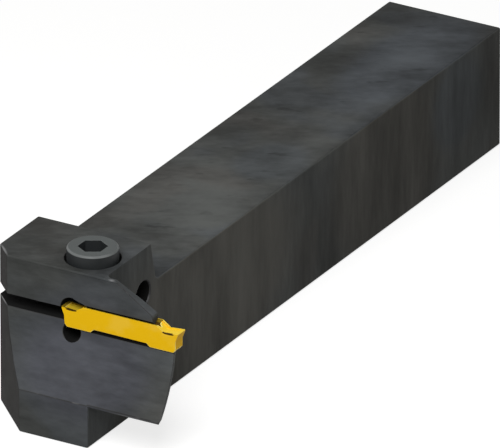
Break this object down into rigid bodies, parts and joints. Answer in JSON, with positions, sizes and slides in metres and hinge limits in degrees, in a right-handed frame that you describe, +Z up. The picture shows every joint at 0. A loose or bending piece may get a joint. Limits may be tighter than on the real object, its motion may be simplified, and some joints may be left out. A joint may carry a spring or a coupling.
{
  "type": "face grooving tool holder",
  "caption": "Square-shank turning tool holder with a curved side blade, a spring jaw closed by a socket head screw and a yellow double-ended grooving insert.",
  "frame": {"origin": "centre of the flat underside of the shank", "axes": "+X points the way the insert's cutting edge faces, +Y along the shank to its rear end, +Z up out of the shank's top"},
  "size_m": [0.0415, 0.1586, 0.0354],
  "materials": {
    "blackened_steel": "blackened, satin",
    "insert_coating": "smooth hard coating",
    "screw_steel": "black oxide"
  },
  "bodies": {
    "holder": {"holder_body": "blackened_steel"},
    "insert": {"cutting_insert": "insert_coating"},
    "screw": {"clamp_screw": "screw_steel"}
  },
  "joints": [
    {"name": "insert_slide", "type": "slide", "parent": "holder", "child": "insert", "axis": [1, 0, 0], "range_m": [0, 0.026]},
    {"name": "clamp_screw_turn", "type": "hinge", "parent": "holder", "child": "screw", "pos_m": [0.006, -0.06605, 0.0294], "axis": [0, 0, 1], "range_deg": [0, 720]}
  ]
}
